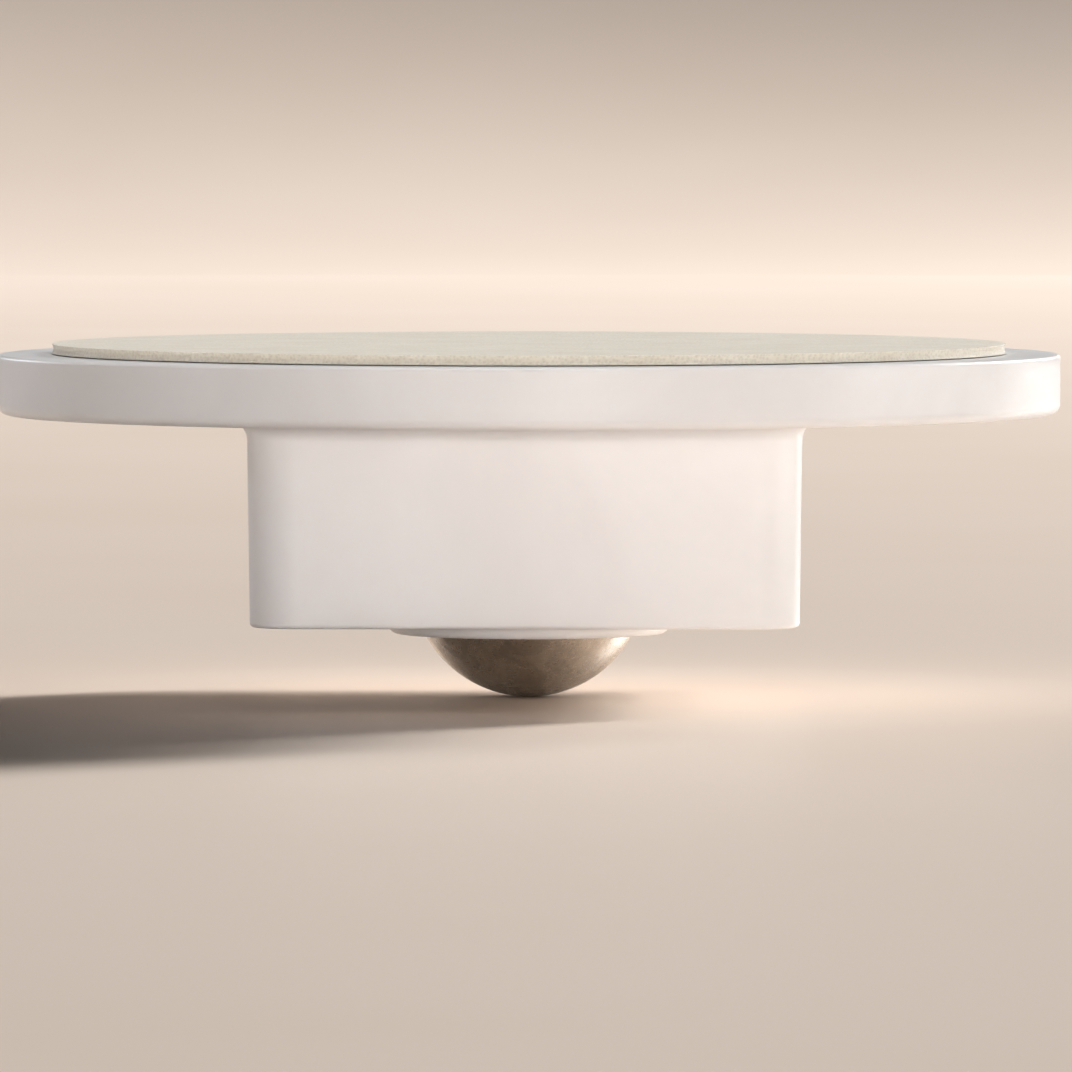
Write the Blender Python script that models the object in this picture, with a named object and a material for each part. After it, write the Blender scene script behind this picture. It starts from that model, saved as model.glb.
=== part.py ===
"""Stick-on ball caster: a steel ball that rolls on a bed of small balls in a white moulded housing.

Metres, +Z up. The origin is the centre of the mounting face, the top of the adhesive pad, and the
caster hangs below it. The moving pieces have their origins on the load ball's centre.
"""

import math

import bmesh
import bpy
from mathutils import Matrix, Vector

MM = 0.001
GAP = 0.05 * MM  # left between pieces that touch

# Standard balls
LOAD_R = 5.0 * MM
SUPPORT_R = 1.0 * MM
RUNNING_GAP = 0.03 * MM  # from a support ball to the load ball and to the cup

# Heights of the faces, from the mounting face down
PAD_BOTTOM = -0.4 * MM
FLANGE_TOP = PAD_BOTTOM - GAP
FLANGE_BOTTOM = -3.0 * MM
BALL_Z = -10.0 * MM
BLOCK_BOTTOM = -11.6 * MM
LIP_BOTTOM = -12.3 * MM

# Housing: round flange with a rounded square block under it
FLANGE_R = 22.5 * MM
FLANGE_TOP_ROUND = 0.15 * MM
FLANGE_RIM_ROUND = 0.47 * MM
BLOCK_HALF = 11.45 * MM  # at the block's lower edge
BLOCK_CORNER_R = 2.1 * MM
BLOCK_EDGE_ROUND = 0.2 * MM
BLOCK_DRAFT = math.radians(0.75)
BLOCK_FILLET = 0.8 * MM
FLOOR_THICK = 1.0 * MM

# Hollows in the housing
CAVITY_R = 7.95 * MM
NOSE_HOLE_R = 6.0 * MM
RECESS_R = 9.0 * MM
RECESS_BOTTOM = -1.9 * MM
POCKET_IN_R = 9.9 * MM
POCKET_HALF = 9.8 * MM
POCKET_CORNER_R = 0.9 * MM
POCKET_FROM = math.radians(25.0)
POCKET_BOTTOM = -10.1 * MM

# Bearing
BED_R = LOAD_R + RUNNING_GAP + SUPPORT_R  # from the load ball's centre to a support ball's
CUP_IN_R = BED_R + SUPPORT_R + RUNNING_GAP
CUP_THICK = 0.8 * MM
CUP_OUT_R = CUP_IN_R + CUP_THICK
BED_ROWS = ((0.0, 1), (20.5, 6), (41.0, 12), (61.5, 16))  # degrees from the top, balls in the row

# Retaining ring: its flange stands on the housing's floor and its nose is the visible lip
RING_FLANGE_R = CAVITY_R - GAP
RING_FLANGE_THICK = 0.7 * MM
RING_BORE_R = LOAD_R + 0.12 * MM
RING_SEAT_R = LOAD_R + 0.1 * MM  # spherical, under the ball's equator
RING_COLLAR_R = CUP_IN_R - GAP
RING_KEEP_ANGLE = math.radians(71.6)  # cone from the ball's centre, just under the lowest row
NOSE_R = NOSE_HOLE_R - GAP
LIP_ROUND = 0.37 * MM
LIP_MOUTH_ROUND = 0.12 * MM
GROOVE_TOP = -10.7 * MM
GROOVE_BOTTOM = -11.5 * MM
GROOVE_R = 5.5 * MM

# Cup seat: the plug that closes the cavity and backs the cup
PLUG_FLANGE_BOTTOM = RECESS_BOTTOM + GAP
PLUG_BOTTOM = -6.2 * MM
PLUG_BOSS_R = CAVITY_R - GAP
PLUG_SOCKET_R = CUP_OUT_R + GAP
PLUG_CHAMFER = 0.2 * MM

PAD_R = 20.2 * MM

FINE = 72  # sides of the large turned shapes
COARSE = 48  # sides of the small ones


# Materials ---------------------------------------------------------------------------------------

def material(name, colour, roughness, metallic=0.0):
    made = bpy.data.materials.new(name)
    made.use_nodes = True
    shader = made.node_tree.nodes["Principled BSDF"]
    shader.inputs["Base Color"].default_value = (*colour, 1.0)
    shader.inputs["Roughness"].default_value = roughness
    shader.inputs["Metallic"].default_value = metallic
    return made


# Shapes ------------------------------------------------------------------------------------------

def arc(centre_r, centre_z, radius, start, end, steps):
    """Points (r, z) along an arc in the profile plane; angles are in degrees, 0 along +r."""
    points = []
    for step in range(steps + 1):
        angle = math.radians(start + (end - start) * step / steps)
        points.append((centre_r + radius * math.cos(angle), centre_z + radius * math.sin(angle)))
    return points


def sphere_r(radius, z):
    """Radius of the circle that the height z cuts from a sphere about the load ball's centre."""
    return math.sqrt(radius ** 2 - (z - BALL_Z) ** 2)


def sphere_angle(radius, z):
    """Degrees above the load ball's equator at which that circle lies."""
    return math.degrees(math.asin((z - BALL_Z) / radius))


def new_object(name, mesh_build, made_of, origin=Vector((0, 0, 0))):
    """An object whose mesh was built in world space, with its origin moved to the given point."""
    bmesh.ops.recalc_face_normals(mesh_build, faces=mesh_build.faces)
    bmesh.ops.translate(mesh_build, vec=-origin, verts=mesh_build.verts)
    mesh = bpy.data.meshes.new(name)
    mesh_build.to_mesh(mesh)
    mesh_build.free()
    mesh.shade_smooth()
    mesh.set_sharp_from_angle(angle=math.radians(35))
    made = bpy.data.objects.new(name, mesh)
    made.location = origin
    if made_of:
        mesh.materials.append(made_of)
    bpy.context.collection.objects.link(made)
    return made


def turned(profile, sides):
    """A bmesh turned about Z from a closed outline of (r, z) points."""
    shape = bmesh.new()
    ring = [shape.verts.new((r, 0.0, z)) for r, z in profile]
    edges = [shape.edges.new((ring[i - 1], ring[i])) for i in range(len(ring))]
    bmesh.ops.spin(shape, geom=ring + edges, cent=(0, 0, 0), axis=(0, 0, 1),
                   angle=math.tau, steps=sides, use_merge=True)
    bmesh.ops.remove_doubles(shape, verts=shape.verts, dist=1e-7)
    on_axis = [edge for edge in shape.edges
               if all(math.hypot(v.co.x, v.co.y) < 1e-7 for v in edge.verts)]
    bmesh.ops.delete(shape, geom=on_axis, context="EDGES")
    return shape


def rounded_square(half, corner, z, steps=6):
    """Points round a square with round corners at the height z."""
    points = []
    for quarter in range(4):
        turn = math.radians(90 * quarter)
        centre = Vector((half - corner, half - corner, z))
        for step in range(steps + 1):
            angle = math.radians(90 * step / steps)
            point = centre + corner * Vector((math.cos(angle), math.sin(angle), 0))
            points.append(Matrix.Rotation(turn, 3, "Z") @ point)
    return points


def lofted(loops):
    """A closed bmesh through loops that have the same number of points."""
    shape = bmesh.new()
    rows = [[shape.verts.new(point) for point in loop] for loop in loops]
    for low, high in zip(rows, rows[1:]):
        for i in range(len(low)):
            shape.faces.new((low[i - 1], low[i], high[i], high[i - 1]))
    shape.faces.new(rows[0])
    shape.faces.new(rows[-1])
    return shape


def boolean(target, tool, operation):
    """Apply one exact Boolean to the target and hide the tool."""
    change = target.modifiers.new(tool.name, "BOOLEAN")
    change.operation = operation
    change.solver = "EXACT"
    change.object = tool
    tool.hide_render = True
    tool.display_type = "WIRE"


# Housing -----------------------------------------------------------------------------------------

def flange_shape():
    top, rim = FLANGE_TOP_ROUND, FLANGE_RIM_ROUND
    profile = [(0.0, FLANGE_BOTTOM)]
    profile += arc(FLANGE_R - rim, FLANGE_BOTTOM + rim, rim, -90, 0, 4)
    profile += arc(FLANGE_R - top, FLANGE_TOP - top, top, 0, 90, 2)
    profile.append((0.0, FLANGE_TOP))
    return turned(profile, FINE)


def block_half(z):
    """Half width of the block's walls at the height z, with draft."""
    return BLOCK_HALF + (z - BLOCK_BOTTOM) * math.tan(BLOCK_DRAFT)


def block_shape():
    """The block, with its rounded lower edge and the fillet that flares into the flange."""
    levels = []
    for angle in (0, 30, 60, 90):
        turn = math.radians(angle)
        inset = BLOCK_EDGE_ROUND * (1 - math.sin(turn))
        levels.append((BLOCK_BOTTOM + BLOCK_EDGE_ROUND * (1 - math.cos(turn)), -inset))
    for angle in (0, 22.5, 45, 67.5, 90):
        turn = math.radians(angle)
        outset = BLOCK_FILLET * (1 - math.cos(turn))
        levels.append((FLANGE_BOTTOM - BLOCK_FILLET * (1 - math.sin(turn)), outset))
    levels.append((FLANGE_BOTTOM + BLOCK_FILLET, BLOCK_FILLET))
    loops = []
    for z, shift in levels:
        loops.append(rounded_square(block_half(z) + shift, BLOCK_CORNER_R + shift, z))
    return lofted(loops)


def cavity_shape():
    """The hollow for the bearing, open above for the cup seat and below for the nose."""
    profile = [
        (0.0, BLOCK_BOTTOM - 1 * MM),
        (NOSE_HOLE_R, BLOCK_BOTTOM - 1 * MM),
        (NOSE_HOLE_R, BLOCK_BOTTOM + FLOOR_THICK),
        (CAVITY_R, BLOCK_BOTTOM + FLOOR_THICK),
        (CAVITY_R, RECESS_BOTTOM),
        (RECESS_R, RECESS_BOTTOM),
        (RECESS_R, 1 * MM),
        (0.0, 1 * MM),
    ]
    return turned(profile, FINE)


def pocket_outline(z):
    """One corner pocket that keeps the walls even: an arc round the cavity, two sides, a corner."""
    points = []
    for step in range(5):
        angle = math.radians(90) - POCKET_FROM - (math.radians(90) - 2 * POCKET_FROM) * step / 4
        points.append(Vector((math.cos(angle), math.sin(angle), 0)) * POCKET_IN_R)
    low = points[-1].y
    points.append(Vector((POCKET_HALF, low, 0)))
    middle = POCKET_HALF - POCKET_CORNER_R
    for x, y in arc(middle, middle, POCKET_CORNER_R, 0, 90, 4):
        points.append(Vector((x, y, 0)))
    points.append(Vector((low, POCKET_HALF, 0)))
    return [Vector((point.x, point.y, z)) for point in points]


def pockets_shape():
    shape = bmesh.new()
    for quarter in range(4):
        turn = Matrix.Rotation(math.radians(90 * quarter), 3, "Z")
        floor = [shape.verts.new(turn @ point) for point in pocket_outline(POCKET_BOTTOM)]
        face = shape.faces.new(floor)
        raised = bmesh.ops.extrude_face_region(shape, geom=[face])
        tops = [item for item in raised["geom"] if isinstance(item, bmesh.types.BMVert)]
        bmesh.ops.translate(shape, verts=tops, vec=(0, 0, 1 * MM - POCKET_BOTTOM))
    return shape


def make_housing(plastic):
    housing = new_object("housing", flange_shape(), plastic)
    boolean(housing, new_object("block", block_shape(), None), "UNION")
    boolean(housing, new_object("cavity", cavity_shape(), None), "DIFFERENCE")
    boolean(housing, new_object("pockets", pockets_shape(), None), "DIFFERENCE")
    return housing


# Retaining ring and seal -------------------------------------------------------------------------

def retaining_ring_shape():
    """Collar, flange and nose in one turning, down the bore and back up the outside."""
    foot = BLOCK_BOTTOM + FLOOR_THICK + GAP
    step = foot + RING_FLANGE_THICK
    keep = math.pi / 2 - RING_KEEP_ANGLE
    keep_low = BALL_Z + RING_BORE_R * math.tan(keep)
    keep_high = BALL_Z + RING_COLLAR_R * math.sin(keep)
    mouth_z = LIP_BOTTOM + LIP_MOUTH_ROUND
    mouth_r = sphere_r(RING_SEAT_R, mouth_z)

    def seat(start, end, steps):
        return arc(0.0, BALL_Z, RING_SEAT_R, sphere_angle(RING_SEAT_R, start),
                   sphere_angle(RING_SEAT_R, end), steps)

    profile = [(RING_BORE_R, keep_low), (RING_BORE_R, BALL_Z)]
    profile += seat(BALL_Z - RING_SEAT_R * math.sin(math.radians(3)), GROOVE_TOP, 2)
    profile += [(GROOVE_R, GROOVE_TOP), (GROOVE_R, GROOVE_BOTTOM)]
    profile += seat(GROOVE_BOTTOM, mouth_z, 2)
    profile += arc(mouth_r + LIP_MOUTH_ROUND, mouth_z, LIP_MOUTH_ROUND, 210, 270, 2)
    profile += arc(NOSE_R - LIP_ROUND, LIP_BOTTOM + LIP_ROUND, LIP_ROUND, -90, 0, 4)
    profile += [(NOSE_R, foot), (RING_FLANGE_R, foot), (RING_FLANGE_R, step)]
    profile += arc(0.0, BALL_Z, RING_COLLAR_R, sphere_angle(RING_COLLAR_R, step),
                   sphere_angle(RING_COLLAR_R, keep_high), 3)
    return turned(profile, COARSE)


def seal_shape():
    """Felt ring in the groove; its inner face leans with the ball and stays just clear of it."""
    top, bottom = GROOVE_TOP - GAP, GROOVE_BOTTOM + GAP
    wipe = LOAD_R + GAP
    profile = [
        (sphere_r(wipe, top), top),
        (sphere_r(wipe, bottom), bottom),
        (GROOVE_R - GAP, bottom),
        (GROOVE_R - GAP, top),
    ]
    return turned(profile, COARSE)


# Bearing -----------------------------------------------------------------------------------------

def cup_shape():
    """Pressed half sphere; its rim stands on the retaining ring's flange."""
    rim = BLOCK_BOTTOM + FLOOR_THICK + GAP + RING_FLANGE_THICK + GAP
    profile = arc(0.0, BALL_Z, CUP_IN_R, 90, sphere_angle(CUP_IN_R, rim), 9)
    profile += arc(0.0, BALL_Z, CUP_OUT_R, sphere_angle(CUP_OUT_R, rim), 90, 9)
    return turned(profile, COARSE)


def cup_seat_shape():
    """Flange in the housing's recess, and a boss whose socket holds the cup."""
    socket_edge = sphere_angle(PLUG_SOCKET_R, PLUG_BOTTOM)
    plug_r = RECESS_R - GAP
    profile = arc(0.0, BALL_Z, PLUG_SOCKET_R, 90, socket_edge, 7)
    profile += [
        (PLUG_BOSS_R - PLUG_CHAMFER, PLUG_BOTTOM),
        (PLUG_BOSS_R, PLUG_BOTTOM + PLUG_CHAMFER),
        (PLUG_BOSS_R, PLUG_FLANGE_BOTTOM),
        (plug_r, PLUG_FLANGE_BOTTOM),
        (plug_r, FLANGE_TOP - PLUG_CHAMFER),
        (plug_r - PLUG_CHAMFER, FLANGE_TOP),
        (0.0, FLANGE_TOP),
    ]
    return turned(profile, COARSE)


def ball_shape(radius, centre):
    """Latitude and longitude sphere with its poles on Z."""
    shape = bmesh.new()
    bmesh.ops.create_uvsphere(shape, u_segments=40, v_segments=20, radius=radius)
    bmesh.ops.translate(shape, vec=centre, verts=shape.verts)
    return shape


def bed_places():
    """Centres of the support balls: rows round the upper half of the load ball."""
    for polar, count in BED_ROWS:
        tilt = math.radians(polar)
        for index in range(count):
            turn = math.tau * (index + 0.5 * (count > 1)) / count
            across = BED_R * math.sin(tilt)
            yield Vector((across * math.cos(turn), across * math.sin(turn),
                          BALL_Z + BED_R * math.cos(tilt)))


def make_support_balls(steel):
    """One object for each support ball, all of one mesh, under an empty on the bed's axis."""
    bed = bpy.data.objects.new("ball_bed", None)
    bed.location = (0, 0, BALL_Z)
    bpy.context.collection.objects.link(bed)
    shape = bmesh.new()
    bmesh.ops.create_icosphere(shape, subdivisions=2, radius=SUPPORT_R)
    mesh = bpy.data.meshes.new("support_ball")
    shape.to_mesh(mesh)
    shape.free()
    mesh.shade_smooth()
    mesh.materials.append(steel)
    for number, place in enumerate(bed_places(), start=1):
        ball = bpy.data.objects.new(f"support_ball_{number:02d}", mesh)
        ball.parent = bed
        ball.location = place - Vector((0, 0, BALL_Z))
        bpy.context.collection.objects.link(ball)


# Pad ---------------------------------------------------------------------------------------------

def pad_shape():
    profile = [(0.0, PAD_BOTTOM), (PAD_R, PAD_BOTTOM), (PAD_R, 0.0), (0.0, 0.0)]
    return turned(profile, FINE)


def build():
    for old in list(bpy.data.objects):
        bpy.data.objects.remove(old)

    white_plastic = material("white_plastic", (0.84, 0.81, 0.79), 0.32)
    seat_plastic = material("seat_plastic", (0.72, 0.71, 0.68), 0.45)
    ball_steel = material("ball_steel", (0.52, 0.49, 0.45), 0.28, 1.0)
    bearing_steel = material("bearing_steel", (0.6, 0.6, 0.6), 0.2, 1.0)
    cup_steel = material("cup_steel", (0.42, 0.42, 0.43), 0.35, 1.0)
    felt = material("felt", (0.3, 0.28, 0.25), 0.95)
    foam = material("foam", (0.82, 0.77, 0.68), 0.85)

    ball_centre = Vector((0, 0, BALL_Z))
    make_housing(white_plastic)
    new_object("retaining_ring", retaining_ring_shape(), white_plastic)
    new_object("wiper_seal", seal_shape(), felt)
    new_object("bearing_cup", cup_shape(), cup_steel)
    new_object("cup_seat", cup_seat_shape(), seat_plastic)
    make_support_balls(bearing_steel)
    new_object("load_ball", ball_shape(LOAD_R, ball_centre), ball_steel, ball_centre)
    new_object("adhesive_pad", pad_shape(), foam)


build()
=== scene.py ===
"""Looks of the stick-on ball caster: smooth moulded, turned and ground pieces round the CAD frame.

Metres, +Z up, in the frame of the CAD model. The origin is the centre of the mounting face.
"""

import math

import bmesh
import bpy
from mathutils import Matrix, Vector, noise


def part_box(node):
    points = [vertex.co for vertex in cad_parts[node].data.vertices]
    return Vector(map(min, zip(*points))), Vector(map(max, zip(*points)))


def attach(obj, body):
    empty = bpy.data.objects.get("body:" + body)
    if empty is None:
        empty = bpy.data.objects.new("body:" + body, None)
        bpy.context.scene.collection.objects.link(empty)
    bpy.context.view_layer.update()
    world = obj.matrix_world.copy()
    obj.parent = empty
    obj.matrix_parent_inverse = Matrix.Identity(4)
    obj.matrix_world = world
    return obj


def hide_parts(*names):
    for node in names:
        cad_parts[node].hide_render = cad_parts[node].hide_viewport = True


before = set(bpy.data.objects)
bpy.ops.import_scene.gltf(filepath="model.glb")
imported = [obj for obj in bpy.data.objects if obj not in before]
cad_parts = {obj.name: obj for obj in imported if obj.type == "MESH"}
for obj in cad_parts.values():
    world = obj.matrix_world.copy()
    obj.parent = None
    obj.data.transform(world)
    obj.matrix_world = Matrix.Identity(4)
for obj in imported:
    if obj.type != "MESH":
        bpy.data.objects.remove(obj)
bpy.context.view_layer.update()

MM = 0.001
GAP = 0.05 * MM  # the CAD model's gap between pieces that touch

# Places read from the frame
PAD_LOW, PAD_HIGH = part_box("adhesive_pad")
HOUSING_LOW, HOUSING_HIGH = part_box("housing")
RING_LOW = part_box("retaining_ring")[0]
BALL_LOW, BALL_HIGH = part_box("load_ball")
SUPPORT_LOW, SUPPORT_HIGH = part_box("support_ball_01")
FLANGE_R = HOUSING_HIGH.x
FLANGE_TOP = HOUSING_HIGH.z
BLOCK_BOTTOM = HOUSING_LOW.z
LIP_BOTTOM = RING_LOW.z
BALL_Z = (BALL_LOW.z + BALL_HIGH.z) / 2
BALL_R = (BALL_HIGH.z - BALL_LOW.z) / 2
SUPPORT_R = (SUPPORT_HIGH.z - SUPPORT_LOW.z) / 2
FLOOR_Z = BALL_LOW.z

# Housing, as in the CAD model
FLANGE_BOTTOM = -3.0 * MM
FLANGE_TOP_ROUND = 0.15 * MM
FLANGE_RIM_ROUND = 0.47 * MM
BLOCK_HALF = 11.45 * MM
BLOCK_CORNER_R = 2.1 * MM
BLOCK_EDGE_ROUND = 0.2 * MM
BLOCK_DRAFT = math.radians(0.75)
BLOCK_FILLET = 0.8 * MM
WALL_SINK = 0.04 * MM  # how far the cooling plastic has drawn each wall in
EDGE_BREAK = 0.06 * MM
RECESS_R = 9.0 * MM
RECESS_BOTTOM = -1.9 * MM
CAVITY_R = 7.95 * MM
CAVITY_FLOOR = BLOCK_BOTTOM + 1.0 * MM
NOSE_HOLE_R = 6.0 * MM
POCKET_IN_R = 9.9 * MM
POCKET_HALF = 9.8 * MM
POCKET_CORNER_R = 0.9 * MM
POCKET_FROM = math.radians(25.0)
POCKET_BOTTOM = -10.1 * MM
CUTTER_TOP = 1 * MM  # clear of the flange
CORNER_STEPS = 16  # columns of the housing's mesh round each corner of the block
SIDE_STEPS = 44  # and along each side
EDGE_STEPS = 6  # rows of it up the block's rounded lower edge,
WALL_STEPS = 16  # up the wall
FILLET_STEPS = 8  # and round the fillet
POCKET_STEPS = 16  # along a pocket's inner wall

# Bearing, as in the CAD model
CUP_IN_R = 7.06 * MM
CUP_OUT_R = 7.86 * MM
CUP_RIM = BLOCK_BOTTOM + 1.8 * MM
RING_FOOT = CAVITY_FLOOR + GAP
RING_STEP = RING_FOOT + 0.7 * MM
RING_BORE_R = 5.12 * MM
RING_SEAT_R = 5.1 * MM
RING_COLLAR_R = CUP_IN_R - GAP
RING_KEEP = math.radians(90 - 71.6)
NOSE_R = NOSE_HOLE_R - GAP
LIP_ROUND = 0.37 * MM
LIP_MOUTH_ROUND = 0.12 * MM
GROOVE_TOP = -10.7 * MM
GROOVE_BOTTOM = -11.5 * MM
GROOVE_R = 5.5 * MM
PLUG_BOTTOM = -6.2 * MM
PLUG_CHAMFER = 0.2 * MM
TURNED_SIDES = 192
HIDDEN_SIDES = 128  # of turned pieces inside the housing

# Pad
PAD_PINCH = 0.06 * MM
PAD_EDGE_STEPS = 8
PAD_FACE_STEPS = 40

# Meshes in general
SHARP = math.radians(40)
PAD_SHARP = math.radians(60)
SAME_POINT = 1e-7  # metres
SAME_CUT_POINT = 1e-6  # wider, for what a boolean leaves

# Stage: a floor that sweeps up into a backdrop beyond every camera
STAGE_R = 900 * MM
SWEEP_R = 300 * MM
STAGE_HEIGHT = 1100 * MM
STAGE_SIDES = 96

# Light; powers are in watts
NEAR_WHITE = (1.0, 0.99, 0.98)
WARM_WHITE = (1.0, 0.95, 0.92)
COOL_WHITE = (0.86, 0.90, 1.0)
KEY_POWER = 25.0
FLOOR_KEY_POWER = 400.0
TOP_POWER = 8.5
COOL_EDGE_POWER = 4.0
FILL_DISTANCE = 600 * MM
FILL_SIZE = (430 * MM, 60 * MM)
WORLD_COLOUR = (1.0, 0.95, 0.90, 1.0)
WORLD_STRENGTH = 0.05

# Camera
CAMERA_RIGHT = 0.3 * MM
CAMERA_BACK = 508.5 * MM
CAMERA_ABOVE = 13.0 * MM
CAMERA_DOWN = math.radians(2.386)
CAMERA_TURN = math.radians(1.05)  # round the object, towards +X
CAMERA_LENS = 403.0  # in millimetres, as Blender takes it, and so is the sensor
CAMERA_SENSOR = 36.0
CAMERA_NEAR = 10 * MM
CAMERA_FAR = 10.0


# Meshes ------------------------------------------------------------------------------------------

def arc(centre_r, centre_z, radius, start, end, steps):
    """Points (r, z) along an arc in the profile plane; angles are in degrees, 0 along +r."""
    points = []
    for step in range(steps + 1):
        angle = math.radians(start + (end - start) * step / steps)
        points.append((centre_r + radius * math.cos(angle), centre_z + radius * math.sin(angle)))
    return points


def between(start, end, steps):
    """Points (r, z) strictly between two profile points."""
    return [(start[0] + (end[0] - start[0]) * k / (steps + 1),
             start[1] + (end[1] - start[1]) * k / (steps + 1)) for k in range(1, steps + 1)]


def sphere_angle(radius, z):
    """Degrees above the load ball's equator of the circle at the height z."""
    return math.degrees(math.asin((z - BALL_Z) / radius))


def new_object(name, shape, material, sharp=SHARP):
    """Turn a bmesh into a smooth-shaded object with its normals out."""
    bmesh.ops.recalc_face_normals(shape, faces=shape.faces)
    mesh = bpy.data.meshes.new(name)
    shape.to_mesh(mesh)
    shape.free()
    mesh.shade_smooth()
    mesh.set_sharp_from_angle(angle=sharp)
    mesh.materials.append(material)
    made = bpy.data.objects.new(name, mesh)
    bpy.context.collection.objects.link(made)
    return made


def turned(profile, sides=TURNED_SIDES):
    """A bmesh turned about Z from a closed outline of (r, z) points."""
    shape = bmesh.new()
    ring = [shape.verts.new((r, 0.0, z)) for r, z in profile]
    edges = [shape.edges.new((ring[i - 1], ring[i])) for i in range(len(ring))]
    bmesh.ops.spin(shape, geom=ring + edges, cent=(0, 0, 0), axis=(0, 0, 1),
                   angle=math.tau, steps=sides, use_merge=True)
    bmesh.ops.remove_doubles(shape, verts=shape.verts, dist=SAME_POINT)
    on_axis = [edge for edge in shape.edges
               if all(math.hypot(v.co.x, v.co.y) < SAME_POINT for v in edge.verts)]
    bmesh.ops.delete(shape, geom=on_axis, context="EDGES")
    return shape


def square_row(half, corner, z):
    """Points round a square with round corners, one for each column of the housing's mesh."""
    points = []
    straight = half - corner
    for quarter in range(4):
        turn = Matrix.Rotation(math.radians(90 * quarter), 3, "Z")
        for step in range(CORNER_STEPS):
            angle = math.radians(90 * step / CORNER_STEPS)
            x, y = straight + corner * math.cos(angle), straight + corner * math.sin(angle)
            points.append(turn @ Vector((x, y, z)))
        for step in range(SIDE_STEPS):
            along = straight * (1 - 2 * step / SIDE_STEPS)
            points.append(turn @ Vector((along, half, z)))
    return points


def circle_row(radius, z):
    """Points round a circle at the same bearings as the square's."""
    points = []
    for point in square_row(BLOCK_HALF, BLOCK_CORNER_R, z):
        level = Vector((point.x, point.y, 0)).normalized() * radius
        points.append(Vector((level.x, level.y, z)))
    return points


def blended_rows(first, last, steps):
    """Rows strictly between two rows."""
    return [[a.lerp(b, k / (steps + 1)) for a, b in zip(first, last)]
            for k in range(1, steps + 1)]


def closed_through(rows):
    """A bmesh of quads through closed rows, the last joined to the first."""
    shape = bmesh.new()
    made = [[shape.verts.new(point) for point in row] for row in rows]
    for low, high in zip(made, made[1:] + made[:1]):
        for i in range(len(low)):
            shape.faces.new((low[i - 1], low[i], high[i], high[i - 1]))
    return shape


# Housing -----------------------------------------------------------------------------------------

def block_half(z):
    return BLOCK_HALF + (z - BLOCK_BOTTOM) * math.tan(BLOCK_DRAFT)


def sunk(row, share):
    """A wall row drawn in towards the axis, most in the middle of each side."""
    drawn = []
    for point in row:
        side = max(abs(point.x), abs(point.y))
        along = min(abs(point.x), abs(point.y)) / (side - BLOCK_CORNER_R)
        depth = WALL_SINK * share * max(0.0, 1 - along ** 2) ** 2
        inward = Vector((math.copysign(1, point.x), 0, 0))
        if abs(point.y) > abs(point.x):
            inward = Vector((0, math.copysign(1, point.y), 0))
        drawn.append(point - inward * depth)
    return drawn


def block_rows():
    """The rounded lower edge, the walls and the fillet under the flange."""
    rows = []
    for step in range(EDGE_STEPS + 1):
        angle = math.radians(90 * step / EDGE_STEPS)
        inset = BLOCK_EDGE_ROUND * (1 - math.sin(angle))
        z = BLOCK_BOTTOM + BLOCK_EDGE_ROUND * (1 - math.cos(angle))
        rows.append(square_row(block_half(z) - inset, BLOCK_CORNER_R - inset, z))
    low, high = BLOCK_BOTTOM + BLOCK_EDGE_ROUND, FLANGE_BOTTOM - BLOCK_FILLET
    for step in range(1, WALL_STEPS):
        up = step / WALL_STEPS
        z = low + (high - low) * up
        wall = square_row(block_half(z), BLOCK_CORNER_R, z)
        rows.append(sunk(wall, math.sin(math.pi * up) ** 2))
    for step in range(FILLET_STEPS + 1):
        angle = math.radians(90 * step / FILLET_STEPS)
        outset = BLOCK_FILLET * (1 - math.cos(angle))
        z = FLANGE_BOTTOM - BLOCK_FILLET * (1 - math.sin(angle))
        rows.append(square_row(block_half(z) + outset, BLOCK_CORNER_R + outset, z))
    return rows


def flange_profile():
    """From the flange's underside out round the rim and in over the top to the recess."""
    top, rim = FLANGE_TOP_ROUND, FLANGE_RIM_ROUND
    profile = arc(FLANGE_R - rim, FLANGE_BOTTOM + rim, rim, -90, 0, 10)
    side = (FLANGE_R, FLANGE_TOP - top)
    profile += between(profile[-1], side, 5)
    profile += arc(FLANGE_R - top, FLANGE_TOP - top, top, 0, 90, 5)
    mouth = (RECESS_R + EDGE_BREAK, FLANGE_TOP)
    profile += between(profile[-1], mouth, 7)
    profile += [mouth, (RECESS_R, FLANGE_TOP - EDGE_BREAK)]
    return profile


def inside_profile():
    """Down the recess, the cavity and the hole for the nose."""
    return [
        (RECESS_R, RECESS_BOTTOM),
        (CAVITY_R + EDGE_BREAK, RECESS_BOTTOM),
        (CAVITY_R, RECESS_BOTTOM - EDGE_BREAK),
        *between((CAVITY_R, RECESS_BOTTOM), (CAVITY_R, CAVITY_FLOOR), 5),
        (CAVITY_R, CAVITY_FLOOR),
        (NOSE_HOLE_R, CAVITY_FLOOR),
        (NOSE_HOLE_R, BLOCK_BOTTOM + EDGE_BREAK),
    ]


def pocket_outline():
    """One corner pocket: an arc round the cavity, two sides and a round corner."""
    points = []
    open_angle = math.radians(90) - 2 * POCKET_FROM
    for step in range(POCKET_STEPS + 1):
        angle = math.radians(90) - POCKET_FROM - open_angle * step / POCKET_STEPS
        points.append((POCKET_IN_R * math.cos(angle), POCKET_IN_R * math.sin(angle)))
    low = points[-1][1]
    middle = POCKET_HALF - POCKET_CORNER_R
    points.append((POCKET_HALF, low))
    points += arc(middle, middle, POCKET_CORNER_R, 0, 90, 8)
    points.append((low, POCKET_HALF))
    return points


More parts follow.
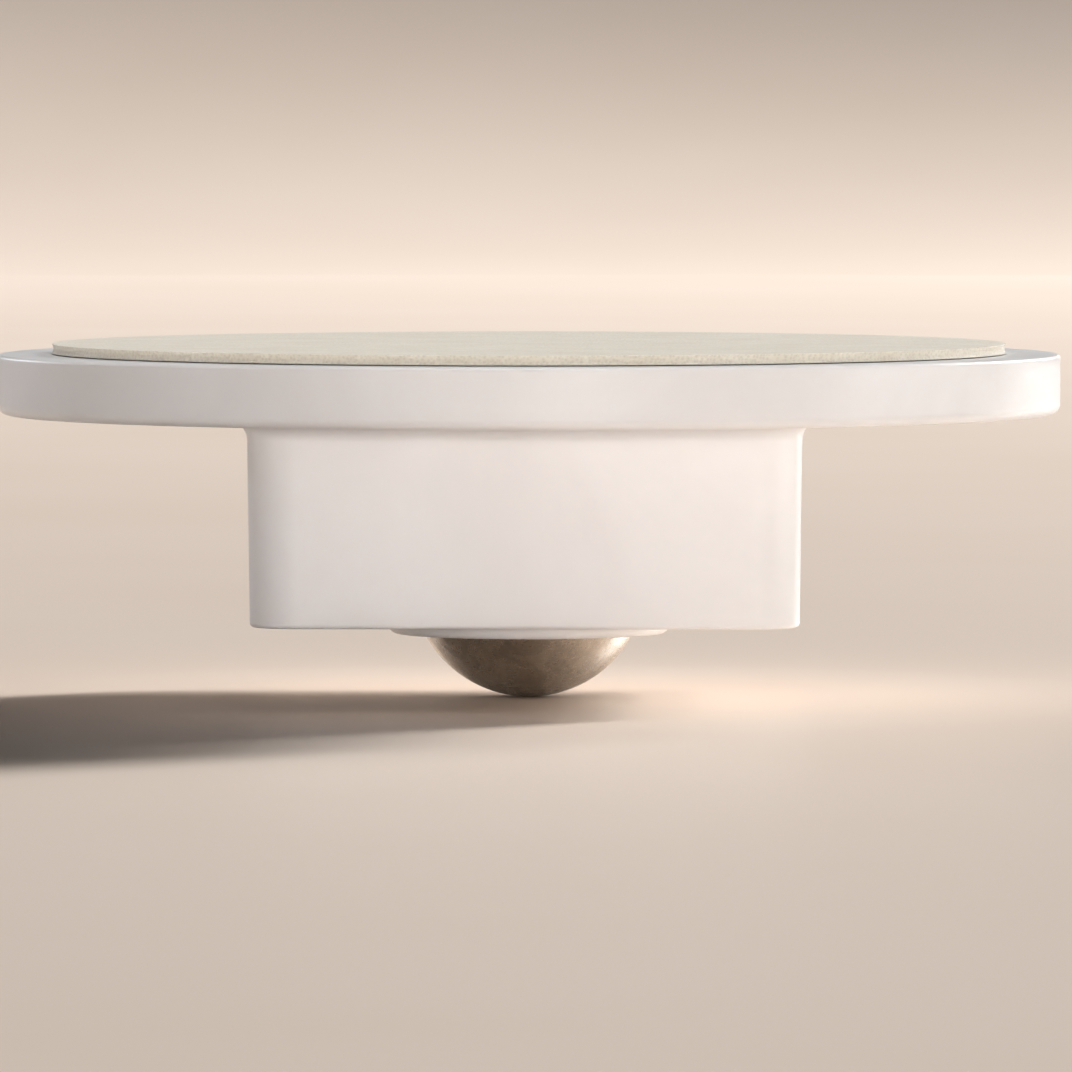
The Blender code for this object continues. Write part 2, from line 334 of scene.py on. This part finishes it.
def cut_pockets(housing):
    """Cut the corner pockets, open upwards, with one cutter of four blocks."""
    shape = bmesh.new()
    for quarter in range(4):
        turn = Matrix.Rotation(math.radians(90 * quarter), 3, "Z")
        floor = [shape.verts.new(turn @ Vector((x, y, POCKET_BOTTOM)))
                 for x, y in pocket_outline()]
        raised = bmesh.ops.extrude_face_region(shape, geom=[shape.faces.new(floor)])
        tops = [item for item in raised["geom"] if isinstance(item, bmesh.types.BMVert)]
        bmesh.ops.translate(shape, verts=tops, vec=(0, 0, CUTTER_TOP - POCKET_BOTTOM))
    cutter = new_object("pocket_cutter", shape, housing.data.materials[0])
    cut = housing.modifiers.new("pockets", "BOOLEAN")
    cut.operation = "DIFFERENCE"
    cut.object = cutter
    apply_modifiers(housing)
    bpy.data.objects.remove(cutter)


def apply_modifiers(made):
    """Replace the object's mesh with its evaluated one, merging the points a cut makes twice."""
    graph = bpy.context.evaluated_depsgraph_get()
    mesh = bpy.data.meshes.new_from_object(made.evaluated_get(graph))
    shape = bmesh.new()
    shape.from_mesh(mesh)
    bmesh.ops.remove_doubles(shape, verts=shape.verts, dist=SAME_CUT_POINT)
    shape.to_mesh(mesh)
    shape.free()
    made.modifiers.clear()
    made.data = mesh


def make_housing(material):
    under = circle_row(NOSE_HOLE_R + EDGE_BREAK, BLOCK_BOTTOM)
    block = block_rows()
    flange = [circle_row(r, z) for r, z in flange_profile()]
    inside = [circle_row(r, z) for r, z in inside_profile()]
    rows = [under, *blended_rows(under, block[0], 3), *block,
            *blended_rows(block[-1], flange[0], 5), *flange, *inside]
    housing = new_object("housing_moulding", closed_through(rows), material)
    cut_pockets(housing)
    housing.data.set_sharp_from_angle(angle=SHARP)
    return housing


# Retaining ring, seal, cup, seat -----------------------------------------------------------------

def ring_profile():
    """Collar, flange and nose, down the bore and back up the outside."""
    keep_low = BALL_Z + RING_BORE_R * math.tan(RING_KEEP)
    keep_high = BALL_Z + RING_COLLAR_R * math.sin(RING_KEEP)
    mouth_z = LIP_BOTTOM + LIP_MOUTH_ROUND
    mouth_r = math.sqrt(RING_SEAT_R ** 2 - (mouth_z - BALL_Z) ** 2)

    def seat(start, end, steps):
        return arc(0.0, BALL_Z, RING_SEAT_R, sphere_angle(RING_SEAT_R, start),
                   sphere_angle(RING_SEAT_R, end), steps)

    profile = [(RING_BORE_R, keep_low), (RING_BORE_R, BALL_Z)]
    profile += seat(BALL_Z - RING_SEAT_R * math.sin(math.radians(3)), GROOVE_TOP, 6)
    profile += [(GROOVE_R, GROOVE_TOP), (GROOVE_R, GROOVE_BOTTOM)]
    profile += seat(GROOVE_BOTTOM, mouth_z, 6)
    profile += arc(mouth_r + LIP_MOUTH_ROUND, mouth_z, LIP_MOUTH_ROUND, 210, 270, 5)
    profile += arc(NOSE_R - LIP_ROUND, LIP_BOTTOM + LIP_ROUND, LIP_ROUND, -90, 0, 10)
    profile += [(NOSE_R, RING_FOOT), (CAVITY_R - GAP, RING_FOOT), (CAVITY_R - GAP, RING_STEP)]
    profile += arc(0.0, BALL_Z, RING_COLLAR_R, sphere_angle(RING_COLLAR_R, RING_STEP),
                   sphere_angle(RING_COLLAR_R, keep_high), 8)
    return profile


def seal_profile():
    top, bottom = GROOVE_TOP - GAP, GROOVE_BOTTOM + GAP
    wipe = BALL_R + GAP
    face = arc(0.0, BALL_Z, wipe, sphere_angle(wipe, top), sphere_angle(wipe, bottom), 6)
    return [*face, (GROOVE_R - GAP, bottom), (GROOVE_R - GAP, top)]


def cup_profile():
    profile = arc(0.0, BALL_Z, CUP_IN_R, 90, sphere_angle(CUP_IN_R, CUP_RIM), 40)
    profile += arc(0.0, BALL_Z, CUP_OUT_R, sphere_angle(CUP_OUT_R, CUP_RIM), 90, 40)
    return profile


def seat_profile():
    plug_r = RECESS_R - GAP
    boss_r = CAVITY_R - GAP
    socket_r = CUP_OUT_R + GAP
    flange_bottom = RECESS_BOTTOM + GAP
    profile = arc(0.0, BALL_Z, socket_r, 90, sphere_angle(socket_r, PLUG_BOTTOM), 30)
    profile += [
        (boss_r - PLUG_CHAMFER, PLUG_BOTTOM),
        (boss_r, PLUG_BOTTOM + PLUG_CHAMFER),
        (boss_r, flange_bottom),
        (plug_r, flange_bottom),
        (plug_r, FLANGE_TOP - PLUG_CHAMFER),
        (plug_r - PLUG_CHAMFER, FLANGE_TOP),
        (0.0, FLANGE_TOP),
    ]
    return profile


def roughen(made, amount, size):
    """Push the surface in by up to the amount, in soft grains of the given size."""
    for vertex in made.data.vertices:
        grain = 0.5 + 0.5 * noise.noise(vertex.co / size)
        vertex.co -= vertex.normal * amount * grain


# Balls and pad -----------------------------------------------------------------------------------

def make_ball(name, radius, centre, subdivisions, material):
    shape = bmesh.new()
    bmesh.ops.create_icosphere(shape, subdivisions=subdivisions, radius=radius)
    ball = new_object(name, shape, material)
    ball.location = centre
    return ball


def make_support_balls(material):
    """A smooth ball for each of the CAD model's support balls, all of one mesh."""
    shared = None
    for cad_name in sorted(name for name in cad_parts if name.startswith("support_ball_")):
        low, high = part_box(cad_name)
        centre = (low + high) / 2
        if shared is None:
            ball = make_ball("bed_" + cad_name, SUPPORT_R, centre, 4, material)
            shared = ball.data
        else:
            ball = bpy.data.objects.new("bed_" + cad_name, shared)
            ball.location = centre
            bpy.context.collection.objects.link(ball)
        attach(ball, "ball_bed")
        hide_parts(cad_name)


def pad_profile():
    """Foam disc whose cut edge is drawn in a little between its two faces."""
    radius, low, high = PAD_HIGH.x, PAD_LOW.z, PAD_HIGH.z
    edge = []
    for step in range(PAD_EDGE_STEPS + 1):
        up = step / PAD_EDGE_STEPS
        edge.append((radius - PAD_PINCH * math.sin(math.pi * up), low + (high - low) * up))
    under_middle, top_middle = (0.0, low), (0.0, high)
    return [under_middle, *between(under_middle, edge[0], PAD_FACE_STEPS), *edge,
            *between(edge[-1], top_middle, PAD_FACE_STEPS), top_middle]


# Materials ---------------------------------------------------------------------------------------

def node(tree, kind, inputs=None, **settings):
    """Add a node, set its properties, and set or link its inputs."""
    made = tree.nodes.new(kind)
    for name, value in settings.items():
        setattr(made, name, value)
    for name, value in (inputs or {}).items():
        if isinstance(value, bpy.types.NodeSocket):
            tree.links.new(value, made.inputs[name])
        else:
            made.inputs[name].default_value = value
    return made


class Surface:
    """A Principled material that is built up from textures in the object's own millimetres."""

    def __init__(self, name, **values):
        self.material = bpy.data.materials.new(name)
        self.material.use_nodes = True
        self.tree = self.material.node_tree
        self.shader = self.tree.nodes["Principled BSDF"]
        for socket, value in values.items():
            self.shader.inputs[socket.replace("_", " ")].default_value = value
        place = node(self.tree, "ShaderNodeTexCoord")
        self.place = node(self.tree, "ShaderNodeMapping",
                          {"Vector": place.outputs["Object"], "Scale": (1000, 1000, 1000)})

    def stretched(self, scale, turn=(0, 0, 0)):
        """Coordinates in millimetres, turned and then scaled along each axis."""
        return node(self.tree, "ShaderNodeMapping",
                    {"Vector": self.place.outputs["Vector"], "Scale": scale,
                     "Rotation": [math.radians(angle) for angle in turn]}).outputs["Vector"]

    def noise(self, per_mm, detail=3.0, rough=0.5, vector=None, warp=0.0):
        return node(self.tree, "ShaderNodeTexNoise",
                    {"Vector": vector or self.place.outputs["Vector"], "Scale": per_mm,
                     "Detail": detail, "Roughness": rough, "Distortion": warp}).outputs["Fac"]

    def cells(self, per_mm, feature="F1", vector=None):
        return node(self.tree, "ShaderNodeTexVoronoi",
                    {"Vector": vector or self.place.outputs["Vector"], "Scale": per_mm},
                    feature=feature).outputs["Distance"]

    def remap(self, value, low, high, to_low=0.0, to_high=1.0):
        return node(self.tree, "ShaderNodeMapRange",
                    {"Value": value, "From Min": low, "From Max": high,
                     "To Min": to_low, "To Max": to_high}).outputs["Result"]

    def math(self, operation, a, b=0.0):
        made = node(self.tree, "ShaderNodeMath", operation=operation)
        for socket, value in zip(made.inputs, (a, b)):
            if isinstance(value, bpy.types.NodeSocket):
                self.tree.links.new(value, socket)
            else:
                socket.default_value = value
        return made.outputs["Value"]

    def mix(self, factor, a, b):
        """Colour a, turning to colour b with the factor."""
        made = node(self.tree, "ShaderNodeMix", {"Factor": factor}, data_type="RGBA")
        for socket, value in ((made.inputs[6], a), (made.inputs[7], b)):
            if isinstance(value, bpy.types.NodeSocket):
                self.tree.links.new(value, socket)
            else:
                socket.default_value = (*value, 1.0)
        return made.outputs[2]

    def colour(self, value):
        self.tree.links.new(value, self.shader.inputs["Base Color"])

    def roughness(self, value):
        self.tree.links.new(value, self.shader.inputs["Roughness"])

    def bump(self, height, depth_mm, under=None):
        """Lay a bump of the given depth on the shader, over another if one is given."""
        inputs = {"Height": height, "Distance": depth_mm * MM, "Strength": 1.0}
        if under:
            inputs["Normal"] = under
        made = node(self.tree, "ShaderNodeBump", inputs)
        self.tree.links.new(made.outputs["Normal"], self.shader.inputs["Normal"])
        return made.outputs["Normal"]


def white_plastic():
    """Satin moulded plastic: faint flow clouds, fine grain, hair scuffs, a little light inside."""
    surface = Surface("moulded_white", Subsurface_Weight=0.12, Subsurface_Scale=0.4 * MM,
                      Subsurface_Radius=(1.0, 0.75, 0.55), IOR=1.5)
    clouds = surface.noise(0.12, 4.0, 0.55, warp=0.6)
    grain = surface.noise(14.0, 2.0, 0.6)
    streaks = surface.noise(1.0, 3.0, 0.6, surface.stretched((0.25, 0.25, 2.2)))
    scuffs = surface.noise(1.0, 4.0, 0.7, surface.stretched((1.1, 9.0, 9.0), (12, 31, 24)))
    scuff_mask = surface.remap(scuffs, 0.62, 0.72)
    base = surface.mix(surface.remap(clouds, 0.3, 0.7), (0.86, 0.855, 0.86), (0.80, 0.79, 0.79))
    surface.colour(base)
    satin = surface.remap(streaks, 0.25, 0.75, 0.34, 0.46)
    worn = surface.math("ADD", satin, surface.math("MULTIPLY", scuff_mask, 0.10))
    surface.roughness(worn)
    fine = surface.bump(grain, 0.0015)
    surface.bump(scuff_mask, -0.0015, fine)
    return surface.material


def ball_steel():
    """Satin stainless steel, dulled by rolling: crossing hair scratches, clouds and tiny pits."""
    surface = Surface("scuffed_steel", Metallic=1.0)
    clouds = surface.noise(0.8, 5.0, 0.62, warp=0.9)
    first = surface.noise(1.0, 4.0, 0.65, surface.stretched((1.0, 14.0, 14.0), (20, 10, 35)))
    second = surface.noise(1.0, 4.0, 0.65, surface.stretched((12.0, 1.2, 12.0), (40, 0, -25)))
    third = surface.noise(1.0, 3.0, 0.6, surface.stretched((9.0, 9.0, 0.9), (-30, 35, 0)))
    scratches = surface.math("MAXIMUM", surface.remap(first, 0.60, 0.70),
                             surface.math("MAXIMUM", surface.remap(second, 0.61, 0.72),
                                          surface.remap(third, 0.62, 0.74)))
    pits = surface.remap(surface.cells(3.2), 0.05, 0.10, 1.0, 0.0)
    base = surface.mix(surface.remap(clouds, 0.34, 0.66), (0.55, 0.51, 0.455), (0.40, 0.365, 0.32))
    marked = surface.mix(surface.math("MULTIPLY", scratches, 0.45), base, (0.74, 0.68, 0.60))
    surface.colour(surface.mix(surface.math("MULTIPLY", pits, 0.6), marked, (0.12, 0.10, 0.085)))
    dull = surface.remap(clouds, 0.34, 0.66, 0.21, 0.32)
    surface.roughness(surface.math("ADD", dull, surface.math("MULTIPLY", scratches, 0.10)))
    wavy = surface.bump(surface.noise(2.2, 3.0, 0.5), 0.004)
    lined = surface.bump(scratches, -0.0012, wavy)
    surface.bump(pits, -0.003, lined)
    return surface.material


def bearing_steel():
    """Ground and polished bearing balls with a trace of oil."""
    surface = Surface("polished_steel", Metallic=1.0)
    film = surface.noise(1.2, 4.0, 0.6, warp=0.8)
    surface.colour(surface.mix(surface.remap(film, 0.3, 0.7), (0.72, 0.72, 0.72), (0.60, 0.58, 0.54)))
    surface.roughness(surface.remap(film, 0.3, 0.7, 0.08, 0.2))
    surface.bump(surface.noise(20.0, 2.0), 0.0004)
    return surface.material


def cup_steel():
    """Pressed sheet, hardened and drawn: rings from the press and heat-darkened clouds."""
    surface = Surface("pressed_steel", Metallic=1.0)
    rings = surface.noise(1.0, 3.0, 0.6, surface.stretched((0.3, 0.3, 9.0)))
    heat = surface.noise(0.3, 3.0, 0.5, warp=1.0)
    dark = surface.mix(surface.remap(heat, 0.3, 0.7), (0.42, 0.41, 0.42), (0.30, 0.27, 0.24))
    surface.colour(surface.mix(surface.remap(rings, 0.45, 0.75), dark, (0.55, 0.55, 0.56)))
    surface.roughness(surface.remap(rings, 0.3, 0.7, 0.26, 0.46))
    surface.bump(rings, 0.003)
    return surface.material


def seat_plastic():
    """Natural nylon, matt and slightly yellow, with moulding grain."""
    surface = Surface("moulded_nylon", Subsurface_Weight=0.2, Subsurface_Scale=0.5 * MM,
                      Subsurface_Radius=(1.0, 0.8, 0.5))
    clouds = surface.noise(0.2, 4.0, 0.6, warp=0.5)
    surface.colour(surface.mix(surface.remap(clouds, 0.3, 0.7), (0.74, 0.72, 0.66), (0.66, 0.63, 0.56)))
    surface.roughness(surface.remap(surface.noise(2.0, 3.0), 0.3, 0.7, 0.42, 0.58))
    surface.bump(surface.noise(10.0, 3.0, 0.6), 0.003)
    return surface.material


def felt():
    """Pressed wool: matted fibres with soft clumps."""
    surface = Surface("pressed_felt", Sheen_Weight=0.35, Sheen_Roughness=0.5)
    across = surface.noise(1.0, 3.0, 0.7, surface.stretched((4.0, 26.0, 26.0), (10, 20, 40)), 1.5)
    along = surface.noise(1.0, 3.0, 0.7, surface.stretched((26.0, 5.0, 20.0), (0, 35, -20)), 1.5)
    fibres = surface.math("MAXIMUM", across, along)
    surface.colour(surface.mix(surface.remap(fibres, 0.4, 0.75), (0.16, 0.145, 0.125),
                               (0.38, 0.35, 0.31)))
    surface.roughness(surface.remap(fibres, 0.4, 0.75, 1.0, 0.85))
    surface.bump(fibres, 0.02)
    return surface.material


def foam():
    """Cream closed-cell foam tape with fine cells, their hollows coloured darker as painted shade."""
    surface = Surface("foam_tape", Subsurface_Weight=0.25, Subsurface_Scale=0.5 * MM,
                      Subsurface_Radius=(1.0, 0.85, 0.65))
    cells = surface.cells(7.0)
    clouds = surface.noise(0.25, 4.0, 0.6)
    base = surface.mix(surface.remap(clouds, 0.3, 0.7), (0.83, 0.78, 0.68), (0.76, 0.70, 0.59))
    # Painted shade: the colour darkens towards each cell's centre, the hollow that the bump below
    # presses in.
    surface.colour(surface.mix(surface.remap(cells, 0.1, 0.65, 0.45, 0.0), base, (0.55, 0.49, 0.40)))
    surface.roughness(surface.remap(cells, 0.1, 0.6, 0.62, 0.9))
    surface.bump(cells, 0.02)
    return surface.material


def pale_floor():
    """Plain pale floor, seen through from below so that the underside can be looked at."""
    surface = Surface("pale_floor", Roughness=0.45)
    soft = surface.noise(0.02, 3.0, 0.5)
    surface.colour(surface.mix(surface.remap(soft, 0.3, 0.7), (0.74, 0.63, 0.54),
                               (0.72, 0.605, 0.51)))
    tree = surface.tree
    from_below = node(tree, "ShaderNodeNewGeometry").outputs["Backfacing"]
    clear = node(tree, "ShaderNodeBsdfTransparent")
    pick = node(tree, "ShaderNodeMixShader", {0: from_below, 1: surface.shader.outputs["BSDF"],
                                              2: clear.outputs["BSDF"]})
    tree.links.new(pick.outputs["Shader"], tree.nodes["Material Output"].inputs["Surface"])
    return surface.material


# Object ------------------------------------------------------------------------------------------

def place(piece, body, slot, *nodes):
    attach(piece, body)
    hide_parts(*nodes)


def make_object():
    white = white_plastic()
    place(make_housing(white), "caster_body", "white_plastic", "housing")
    ring = new_object("lip_ring", turned(ring_profile()), white)
    place(ring, "caster_body", "white_plastic", "retaining_ring")
    seal = new_object("felt_wiper", turned(seal_profile()), felt())
    roughen(seal, 0.02 * MM, 0.15 * MM)
    place(seal, "caster_body", "felt", "wiper_seal")
    cup = new_object("pressed_cup", turned(cup_profile(), HIDDEN_SIDES), cup_steel())
    place(cup, "caster_body", "cup_steel", "bearing_cup")
    seat = new_object("cup_backing", turned(seat_profile(), HIDDEN_SIDES), seat_plastic())
    place(seat, "caster_body", "seat_plastic", "cup_seat")
    pad = new_object("foam_pad", turned(pad_profile()), foam(), PAD_SHARP)
    place(pad, "caster_body", "foam", "adhesive_pad")
    ball = make_ball("steel_ball", BALL_R, Vector((0, 0, BALL_Z)), 6, ball_steel())
    place(ball, "load_ball", "ball_steel", "load_ball")
    make_support_balls(bearing_steel())


# Stage -------------------------------------------------------------------------------------------

def swept(name, profile, material):
    """A stage surface turned about Z from (r, z) points that run outwards along the floor."""
    shape = bmesh.new()
    rows = []
    for r, z in profile:
        ring = []
        for step in range(STAGE_SIDES):
            angle = math.tau * step / STAGE_SIDES
            ring.append(shape.verts.new((r * math.cos(angle), r * math.sin(angle), FLOOR_Z + z)))
        rows.append(ring)
    for low, high in zip(rows, rows[1:]):
        for i in range(STAGE_SIDES):
            shape.faces.new((low[i], low[i - 1], high[i - 1], high[i]))
    bmesh.ops.remove_doubles(shape, verts=shape.verts, dist=SAME_POINT)
    mesh = bpy.data.meshes.new(name)
    shape.to_mesh(mesh)
    shape.free()
    mesh.shade_smooth()
    mesh.materials.append(material)
    made = bpy.data.objects.new(name, mesh)
    bpy.context.collection.objects.link(made)
    return made


def make_stage():
    """A pale floor, and a backdrop that only the camera sees, so that it keeps no light out."""
    pale = pale_floor()
    floor = swept("floor", [(0.0, 0.0), (STAGE_R, 0.0)], pale)
    rise = arc(STAGE_R, SWEEP_R, SWEEP_R, -90, 0, 24)
    backdrop = swept("backdrop", [*rise, (STAGE_R + SWEEP_R, STAGE_HEIGHT)], pale)
    backdrop.visible_diffuse = False
    backdrop.visible_glossy = False
    backdrop.visible_shadow = False
    return floor, backdrop


def area_light(name, bearing, height, distance, size, power, colour):
    """An area light aimed at the caster; the bearing runs from the camera's side towards +X."""
    data = bpy.data.lights.new(name, "AREA")
    data.shape = "RECTANGLE"
    data.size, data.size_y = size
    data.energy = power
    data.color = colour
    light = bpy.data.objects.new(name, data)
    turn, lift = math.radians(bearing), math.radians(height)
    way = Vector((math.sin(turn) * math.cos(lift), -math.cos(turn) * math.cos(lift),
                  math.sin(lift)))
    light.location = Vector((0, 0, BALL_Z)) + way * distance
    light.rotation_mode = "QUATERNION"
    light.rotation_quaternion = way.to_track_quat("Z", "Y")
    light.visible_camera = False
    bpy.context.collection.objects.link(light)
    return light


def only_on(light, receivers):
    """Let a light fall on some objects alone, which the others still shade."""
    lit = bpy.data.collections.new(light.name + "_receivers")
    for receiver in receivers:
        lit.objects.link(receiver)
    light.light_linking.receiver_collection = lit


def make_lights(pieces, stage):
    """Strong light for the floor alone, softer light for the object, low fills and a dim world."""
    area_light("key", 143, 22, 2000 * MM, (500 * MM, 500 * MM), KEY_POWER, NEAR_WHITE)
    floor_key = area_light("floor_key", 136, 16, 4000 * MM, (580 * MM, 580 * MM),
                           FLOOR_KEY_POWER, NEAR_WHITE)
    only_on(floor_key, stage)
    top = area_light("top", 90, 86, 1200 * MM, (700 * MM, 700 * MM), TOP_POWER, NEAR_WHITE)
    only_on(top, pieces)
    for name, bearing, height, power, colour in (
            ("left_fill", -32, 2.6, 0.56, WARM_WHITE),
            ("front_fill", 8, 2.6, 0.66, WARM_WHITE),
            ("side_fill", 86, 4.0, 0.50, NEAR_WHITE)):
        area_light(name, bearing, height, FILL_DISTANCE, FILL_SIZE, power, colour)
    area_light("cool_edge", -142, 12, 1500 * MM, (300 * MM, 300 * MM), COOL_EDGE_POWER, COOL_WHITE)
    world = bpy.data.worlds.new("studio")
    world.use_nodes = True
    background = world.node_tree.nodes["Background"]
    background.inputs["Color"].default_value = WORLD_COLOUR
    background.inputs["Strength"].default_value = WORLD_STRENGTH
    bpy.context.scene.world = world
    bpy.context.scene.view_settings.view_transform = "Standard"


def make_camera():
    data = bpy.data.cameras.new("camera")
    data.lens = CAMERA_LENS
    data.sensor_width = CAMERA_SENSOR
    data.clip_start = CAMERA_NEAR
    data.clip_end = CAMERA_FAR
    camera = bpy.data.objects.new("camera", data)
    turn = Matrix.Rotation(CAMERA_TURN, 3, "Z")
    camera.location = turn @ Vector((CAMERA_RIGHT, -CAMERA_BACK, CAMERA_ABOVE))
    camera.rotation_euler = (math.radians(90) - CAMERA_DOWN, 0, CAMERA_TURN)
    bpy.context.collection.objects.link(camera)
    bpy.context.scene.camera = camera


make_object()
make_lights([piece for piece in bpy.data.objects if piece.type == "MESH"], make_stage())
make_camera()
